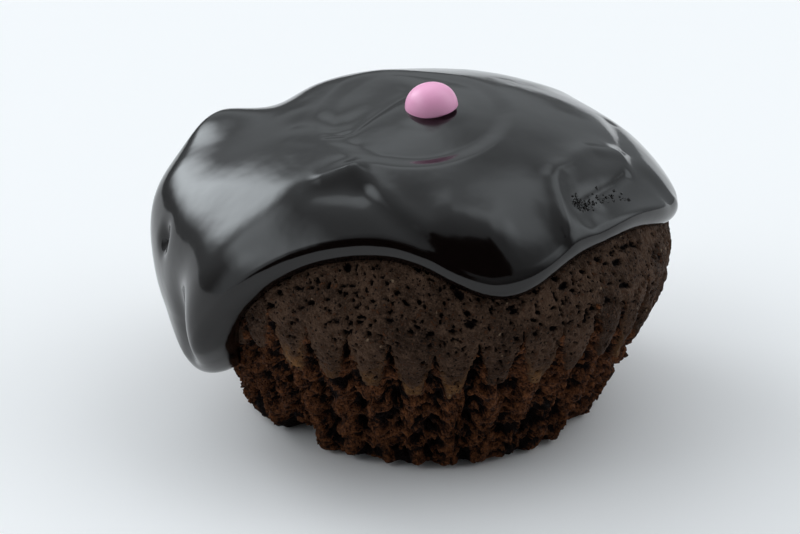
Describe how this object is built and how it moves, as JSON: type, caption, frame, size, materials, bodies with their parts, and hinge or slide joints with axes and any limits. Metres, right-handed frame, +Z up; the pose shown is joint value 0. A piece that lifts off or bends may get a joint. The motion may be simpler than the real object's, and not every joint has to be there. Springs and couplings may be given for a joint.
{
  "type": "iced chocolate cupcake",
  "caption": "Chocolate cupcake with a pleated tapered wall and a domed top under poured chocolate icing that runs down one side, with a round pink sweet on top.",
  "frame": {"origin": "centre of the flat base that the cupcake stands on", "axes": "+Z up; -Y towards the side that shows in the picture; the long lobe of icing hangs on the -X side"},
  "size_m": [0.0723, 0.0671, 0.0462],
  "materials": {
    "cake": "matte dark chocolate crumb, smooth greyish brown crust above, torn reddish brown crumb below",
    "icing": "glossy set dark chocolate",
    "sweet": "satin pink sugar shell"
  },
  "bodies": {
    "root": {"cake": "cake", "icing": "icing", "sweet": "sweet"}
  },
  "joints": []
}
